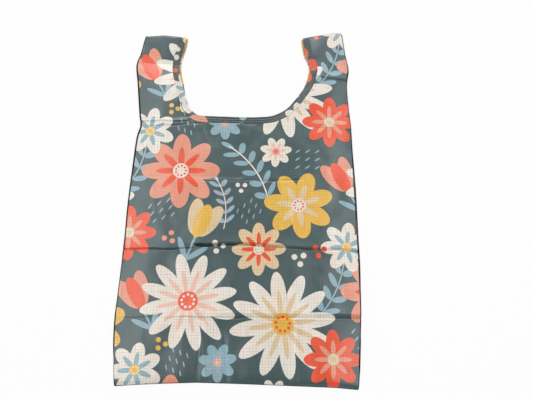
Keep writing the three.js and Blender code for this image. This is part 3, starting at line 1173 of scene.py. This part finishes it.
def with_level(rows, level):
    """Points of a grid with their height over the table."""
    x, h = rows[..., 0], rows[..., 1]
    return np.dstack([x, h, level(x, h)])


def front_cloth(name, rows, *nodes):
    piece = cloth(name, with_level(rows, front_level), wander(rows[..., 0], rows[..., 1]))
    return finished(piece, ripstop, "printed_ripstop", *nodes)


upper = front_blocks["upper"]
neck_x = upper[-1, front_counts[0]:-front_counts[2], 0]
middle = front_counts[0] + int(np.argmin(np.abs(neck_x)))
front_lower = front_cloth("front_lower_cloth", front_blocks["lower"], "front_panel_lower")
bends_with_body(front_lower)
halves = {"left": upper[:, :middle + 1], "right": upper[:, middle:]}
front_halves = {}
for side, rows in halves.items():
    front_halves[side] = front_cloth(f"front_{side}_cloth", rows, "front_panel_upper", "front_panel_lip")
    bends_with_lip(front_halves[side])
front_straps = {}
for side in SIGNS:
    front_straps[side] = front_cloth(f"{side}_front_strap_cloth", front_blocks[side], f"{side}_front_strap")
    bends_with_handle(front_straps[side])
print("front cloth in", 1 + len(front_halves) + len(front_straps), "pieces")

# %% [markdown]
# ## Back panel and back straps
#
# The back is the same cut, laid a little askew: it shows past the front along the right side and past
# the inner edges of both handles. Its print runs on from another place of the repeat, mirrored,
# because its outer face looks down.

# %% Make the back cloth
BACK_STEP = 5
BACK_FINE = 2.5
BACK_SPLIT = 262
BACK_CORNER = 458
BACK_PRINT = (150, 90)
BACK_RIGHT_DRIFT = [(0, 0), (150, 0.5), (230, 2.2), (330, 2.6), (420, 0.5), (500, 0.3), (540, 1.5), (604, 0)]
BACK_INNER_DRIFT = [(450, 0), (490, 0.5), (520, 3), (560, 3.5), (604, 3.5)]


def back_right_edge(h):
    return right_edge(h) + at(BACK_RIGHT_DRIFT, h)


back_neck = neck_curve.copy()
back_neck[:, 0] -= np.sign(neck_curve[:, 0]) * at(BACK_INNER_DRIFT, neck_curve[:, 1])
back_blocks, _ = panel_rows(
    left_edge, back_right_edge, back_neck, BACK_SPLIT, BACK_CORNER, BACK_STEP, BACK_FINE
)


def back_cloth(name, rows, *nodes):
    where = wander(BACK_PRINT[0] - rows[..., 0], BACK_PRINT[1] + rows[..., 1])
    piece = cloth(name, with_level(rows, back_level), where, facing=-1)
    return finished(piece, ripstop, "printed_ripstop", *nodes)


back_lower = back_cloth("back_lower_cloth", back_blocks["lower"], "back_panel_lower")
bends_with_body(back_lower)
back_upper = back_cloth("back_upper_cloth", back_blocks["upper"], "back_panel_upper")
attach(back_upper, "upper_body")
back_straps = {}
for side in SIGNS:
    back_straps[side] = back_cloth(f"{side}_back_strap_cloth", back_blocks[side], f"{side}_back_strap")
    bends_with_handle(back_straps[side])
print("back print starts at", BACK_PRINT)

# %% [markdown]
# ## Side gussets and strap linings
#
# Each side of the bag is a strip folded inwards like a bellows. From the side it shows as a narrow V
# between the two seams. Its section is a run of points from the front seam in to the fold and out to
# the back seam, repeated up the side. Above the shoulder its two leaves part and line the straps.

# %% Make the gussets and linings
GUSSET_DEPTH = 62
GUSSET_STEP = 6
GUSSET_FINE = 2.5
GUSSET_POINTS = 25
GUSSET_EASE = 1.2
GUSSET_INSET = 0.6
GUSSET_TURN = 0.5
GUSSET_TURN_SHARPNESS = 8
GUSSET_WAVE = (30, 9.0)
GUSSET_WAVE_HEIGHT = 0.25
GUSSET_START = 9
SHOULDER = 464
LEAF_GAP = 0.8
GUSSET_PRINT = (40, 250)
LINING_INSET = 11
LINING_ROWS_SHORT = 3


def gusset_rows(edge, sign, low, high):
    """Points of a folded side strip between two heights, and their flat places."""
    h = heights_between(low, high, GUSSET_STEP, GUSSET_FINE)[:, None]
    leaf = np.linspace(-1, 1, GUSSET_POINTS)[None, :]
    outward = np.abs(leaf)
    x = edge(h) - sign * (GUSSET_DEPTH * (1 - outward**GUSSET_EASE) + GUSSET_INSET)
    front = front_level(edge(h), h) - LEAF_GAP
    back = back_level(edge(h), h) + LEAF_GAP
    closed = GUSSET_TURN + ((front - back) / 2 - GUSSET_TURN) * outward
    z = (front + back) / 2 - np.sign(leaf) * closed * np.minimum(1, outward * GUSSET_TURN_SHARPNESS)
    h = h + 0 * x
    z = z + GUSSET_WAVE_HEIGHT * waves(x, h, *GUSSET_WAVE) * (1 - outward)
    where = np.dstack([GUSSET_PRINT[0] + leaf * GUSSET_DEPTH + 0 * h, GUSSET_PRINT[1] + h])
    return np.dstack([x, h, z]), where


edges = {"left": left_edge, "right": right_edge}
gusset_spans = {"lower": (GUSSET_START, BACK_SPLIT), "upper": (BACK_SPLIT, SHOULDER)}
gussets = []
for side, sign in SIGNS.items():
    for part, span in gusset_spans.items():
        name = f"{side}_gusset_{part}"
        gusset = cloth(f"{name}_cloth", *gusset_rows(edges[side], sign, *span), facing=-sign)
        gussets.append(finished(gusset, ripstop, "gusset_ripstop", name))
    bends_with_body(gussets[-2])
    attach(gussets[-1], "upper_body")

layers = {
    "front": (front_blocks, front_level, -1, FRONT_BEND),
    "back": (back_blocks, back_level, 1, BACK_BEND),
}
for side in SIGNS:
    outer = 0 if side == "left" else -1
    for layer, (blocks, level, lift, bend) in layers.items():
        rows = blocks[side][:-LINING_ROWS_SHORT].copy()
        width = rows[:, -1, 0] - rows[:, 0, 0] - LINING_INSET
        share = np.linspace(0, 1, rows.shape[1]) + outer
        rows[..., 0] = rows[:, [outer], 0] + np.outer(width, share)
        points = with_level(rows, level)
        points[..., 2] += lift * LEAF_GAP
        where = wander(rows[..., 0] + GUSSET_PRINT[0], rows[..., 1] + GUSSET_PRINT[1])
        lining = cloth(f"{side}_{layer}_lining_cloth", points, where, facing=lift)
        finished(lining, ripstop, "gusset_ripstop", f"{side}_{layer}_strap_lining")
        bends_with_handle(lining)

# %% [markdown]
# ## Neck binding
#
# A strip of the same cloth is folded over the raw neck edge and sewn down through all its layers. Its
# section is drawn once, as an inset from the edge and a lift off the panel, and carried along the neck
# curve, square to it. The strip was cut from elsewhere on the roll, so it carries its own bits of print.

# %% Binding helpers
TAPE_SECTION = np.array([
    (11.3, 0.0), (11.1, 0.7), (10.4, 1.2), (9.4, 1.3), (8.4, 0.95), (7.6, 0.4), (6.8, 0.85), (5.7, 1.25),
    (4.5, 0.9), (3.6, 0.4), (2.7, 0.8), (1.6, 1.05), (0.4, 1.1), (-0.2, 0.85), (-0.45, 0.2), (-0.1, -0.45),
    (1.0, -0.65), (5.0, -0.7), (9.8, -0.55), (10.2, -0.15),
])
TAPE_STEP = 2.6
TAPE_END = HANDLE_TOP - 1
TAPE_WAVE = (7, 13.0)
TAPE_WAVE_HEIGHT = 0.12


def tape_rows(path, normals, level, start, way=1):
    """Points of the folded strip along a path, and their flat places from a start on the roll."""
    inset, lift = np.transpose(TAPE_SECTION)
    x = path[:, [0]] + normals[:, [0]] * inset
    h = path[:, [1]] + normals[:, [1]] * inset
    z = level(x, h) + lift + TAPE_WAVE_HEIGHT * waves(x, h, *TAPE_WAVE)
    along = start[0] + way * run_of(path)
    where = np.dstack(np.broadcast_arrays(along[:, None], start[1] + run_of(TAPE_SECTION)[None, :]))
    return np.dstack([x, h, z]), where


def neck_parts(path, corner_height):
    """A neck path as evenly spaced points, the directions square to it, and its cuts at feet and middle."""
    level_top = path[:, 1] - at(TOP_RISE, path[:, 0])
    path = path + np.column_stack([np.sign(path[:, 0]) * rounded_in(level_top), 0 * level_top])
    path = path[level_top <= TAPE_END]
    path = evenly(path, round(run_of(path)[-1] / TAPE_STEP))
    along = directions(path)
    first, last = corners_of(path, corner_height)
    middle = int(np.argmin(np.abs(path[:, 0]) + (path[:, 1] > corner_height) * HANDLE_TOP))
    cuts = {
        "left_strap": slice(0, first + 1),
        "left_neck": slice(first, middle + 1),
        "right_neck": slice(middle, last + 1),
        "right_strap": slice(last, None),
    }
    return path, np.column_stack([along[:, 1], -along[:, 0]]), cuts


print("binding section runs", round(run_of(TAPE_SECTION)[-1], 1), "mm round the edge")

# %% [markdown]
# ## Stitches
#
# Two rows of stitches hold the binding. A row of dashes in the material would be flat from the side, so
# each stitch is a small rounded tube of thread lying in the cloth, repeated at the machine's step.

# %% Stitch helper
STITCH_LENGTH = 2.5
STITCH_STEP = 3.4
STITCH_RADIUS = 0.33
STITCH_SIDES = 6
STITCH_RINGS = [(-0.5, 0.35), (-0.32, 1.0), (0.32, 1.0), (0.5, 0.35)]
STITCH_ROWS = (3.6, 7.6)
STITCH_LIFT = 0.55
FEWEST_STITCHES = 3


def stitches(name, path, normals, level):
    """Rows of thread along a neck path, as one mesh."""
    turn = np.linspace(0, 2 * math.pi, STITCH_SIDES, endpoint=False)
    tube = tube_faces(len(STITCH_RINGS), STITCH_SIDES)
    shapes = []
    faces = []
    for inset in STITCH_ROWS:
        line = path + normals * inset
        line = evenly(line, max(FEWEST_STITCHES, round(run_of(line)[-1] / STITCH_STEP)))
        z = level(line[:, 0], line[:, 1]) + STITCH_LIFT
        for (x, h), (ax, ah), height in zip(line[1:-1], directions(line)[1:-1], z[1:-1]):
            base = len(shapes) * STITCH_SIDES
            faces += [[base + i for i in reversed(face)] for face in tube]
            for place, size in STITCH_RINGS:
                beside = np.cos(turn) * STITCH_RADIUS * size
                up = np.sin(turn) * STITCH_RADIUS * size
                run = place * STITCH_LENGTH
                ring_x = x + ax * run - ah * beside
                ring_h = h + ah * run + ax * beside
                shapes.append(np.column_stack([ring_x, ring_h, height + up]))
    return finished(new_piece(name, np.vstack(shapes), faces), stitch_thread, "seam_edge")


print("a stitch every", STITCH_STEP, "mm in rows at", STITCH_ROWS)

# %% Make the front binding and its stitching
FRONT_TAPE_PRINT = (60, 200)
front_path, front_normals, front_cuts = neck_parts(neck_curve, FRONT_CORNER)
front_threads = {}
tape_nodes = {
    "left_strap": ["left_front_strap_binding"],
    "left_neck": ["front_neck_binding", "front_left_corner_binding"],
    "right_neck": ["front_neck_binding", "front_right_corner_binding"],
    "right_strap": ["right_front_strap_binding"],
}
for part, cut in front_cuts.items():
    path, normals = front_path[cut], front_normals[cut]
    start = (FRONT_TAPE_PRINT[0] + run_of(front_path)[cut][0], FRONT_TAPE_PRINT[1])
    tape = cloth(f"front_{part}_tape", *tape_rows(path, normals, front_level, start))
    finished(tape, binding_ripstop, "binding_tape", *tape_nodes[part])
    front_threads[part] = stitches(f"front_{part}_stitches", path, normals, front_level)
    side, place = part.split("_")
    for piece in (tape, front_threads[part]):
        if place == "neck":
            bends_with_lip(piece)
        else:
            bends_with_handle(piece)

# %% [markdown]
# The back binding lies against the table, and its sewn side faces down, so it has no stitching of its
# own. It is made the same way, and shows past the front at the handles and where the mouth opens. On the
# right handle its print runs backwards, so that both handles show the same piece of the roll.

# %% Make the back binding
BACK_TAPE_PRINT = (52, 283)
back_path, back_normals, back_cuts = neck_parts(back_neck, BACK_CORNER)


def back_tape_on(name, cut, node, start=BACK_TAPE_PRINT, way=1):
    rows = tape_rows(back_path[cut], back_normals[cut], back_level, start, way)
    return finished(cloth(name, *rows), binding_ripstop, "binding_tape", node)


right_cut = back_cuts["right_strap"]
right_start = (BACK_TAPE_PRINT[0] + run_of(back_path[right_cut])[-1], BACK_TAPE_PRINT[1])
back_tapes = {
    "left": back_tape_on("back_left_strap_tape", back_cuts["left_strap"], "left_back_strap_binding"),
    "right": back_tape_on("back_right_strap_tape", right_cut, "right_back_strap_binding", right_start, -1),
}
for side, tape in back_tapes.items():
    bends_with_handle(tape)
neck_cut = slice(back_cuts["left_neck"].start, back_cuts["right_neck"].stop)
back_neck_tape = back_tape_on("back_neck_tape", neck_cut, "back_neck_binding")
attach(back_neck_tape, "upper_body")
print("back binding in", len(back_tapes) + 1, "parts")

# %% [markdown]
# ## Seams
#
# The side seams are narrow rolled edges, which read in the picture as a thin dark line down each side;
# part of that dark is painted shade of the gap along the edge.
# A tube of eight sides along the edge, a little flattened, gives that line a real thickness, which
# grows and shrinks along the way. The bottom seam and the handles' top seams are made with the same tube.

# %% Seam tube
SEAM_SIDES = 8
SEAM_SQUASH = 0.85
SEAM_ROLL = {
    "left": [
        (0, 0.5), (40, 0.5), (62, 1.1), (105, 1.1), (130, 0.7), (190, 0.7), (215, 1.1), (250, 1.1),
        (420, 1.5), (545, 1.4), (565, 0.8), (HANDLE_TOP, 0.8),
    ],
    "right": [
        (0, 0.6), (18, 0.7), (35, 1.3), (60, 1.3), (80, 0.8), (110, 0.9), (180, 1.2), (230, 0.7),
        (HANDLE_TOP, 0.7),
    ],
}
SEAM_OVERLAP = 0.8
SEAM_SINK = 0.1
SEAM_STEP = 4
SEAM_FINE = 2


def seam(name, line, radius, node):
    """A rolled edge along a line of (x, h, z) points."""
    along = directions(line)
    beside = np.column_stack([along[:, 1], -along[:, 0], np.zeros(len(along))])
    beside = beside / np.linalg.norm(beside, axis=1)[:, None]
    up = SEAM_SQUASH * np.cross(beside, along)
    turn = np.linspace(0, 2 * math.pi, SEAM_SIDES, endpoint=False)[None, :, None]
    ring = np.cos(turn) * beside[:, None] + np.sin(turn) * up[:, None]
    points = line[:, None] + np.reshape(radius, (-1, 1, 1)) * ring
    piece = new_piece(name, points.reshape(-1, 3), tube_faces(len(line), SEAM_SIDES))
    return finished(piece, shaded_overlock, "seam_edge", node)


def edge_line(side, edge, level, low, high):
    """Points along a side edge, just outside the cloth, and the radius of the seam at each."""
    h = heights_between(low, high, SEAM_STEP, SEAM_FINE)
    x = edge(h) - SIGNS[side] * rounded_in(h)
    h = h + drift(x, h)
    roll = at(SEAM_ROLL[side], h)
    z = np.maximum(level(x, h) - SEAM_SINK, roll)
    outward = np.minimum(SEAM_INSET - roll, SEAM_OVERLAP * roll)
    return np.column_stack([x + SIGNS[side] * outward, h, z]), roll


print("seam tube of", SEAM_SIDES, "sides")

# %% Make the side seams
side_seams = []
seam_layers = {
    "front": (edges, front_level, FRONT_BEND, LIP_HINGE, FRONT_CORNER),
    "back": ({"left": left_edge, "right": back_right_edge}, back_level, BACK_BEND, BACK_SPLIT, BACK_CORNER),
}
for layer, (layer_edges, level, bend, split, foot) in seam_layers.items():
    for side, edge in layer_edges.items():
        line_between = partial(edge_line, side, edge, level)
        body = f"{layer}_{side}"
        strap_name = f"{side}_{layer}_strap"
        lower = seam(f"{body}_lower_edge", *line_between(0, split), f"{body}_seam_lower")
        bends_with_body(lower)
        upper = seam(f"{body}_upper_edge", *line_between(split, foot), f"{body}_seam_upper")
        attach(upper, "upper_body")
        strap = seam(f"{strap_name}_edge", *line_between(foot, HANDLE_TOP), f"{strap_name}_seam")
        bends_with_handle(strap)
        side_seams += [lower, upper, strap]
print(len(side_seams), "side seam parts")

# %% Make the bottom seam and the handles' top seams
BOTTOM_SEAM_POINTS = 110
BOTTOM_SEAM_RADIUS = 0.8
TOP_SEAM_RADIUS = 1.0


def between_layers(x, h):
    return (front_level(x, h) + back_level(x, h)) / 2


bottom_x = np.linspace(left_edge(0), right_edge(0), BOTTOM_SEAM_POINTS)
bottom_h = 0 * bottom_x
bottom_line = np.column_stack([bottom_x, drift(bottom_x, bottom_h), between_layers(bottom_x, bottom_h)])
bottom_edge = seam("bottom_edge", bottom_line, BOTTOM_SEAM_RADIUS, "bottom_seam")
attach(bottom_edge, "lower_body")
for side in SIGNS:
    top_line = with_level(front_blocks[side][-1:], between_layers)[0]
    top_edge = seam(f"{side}_handle_top_edge", top_line, TOP_SEAM_RADIUS, f"{side}_handle_top_seam")
    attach(top_edge, f"{side}_handle")
print("bottom seam", round(bottom_x[-1] - bottom_x[0]), "mm long")
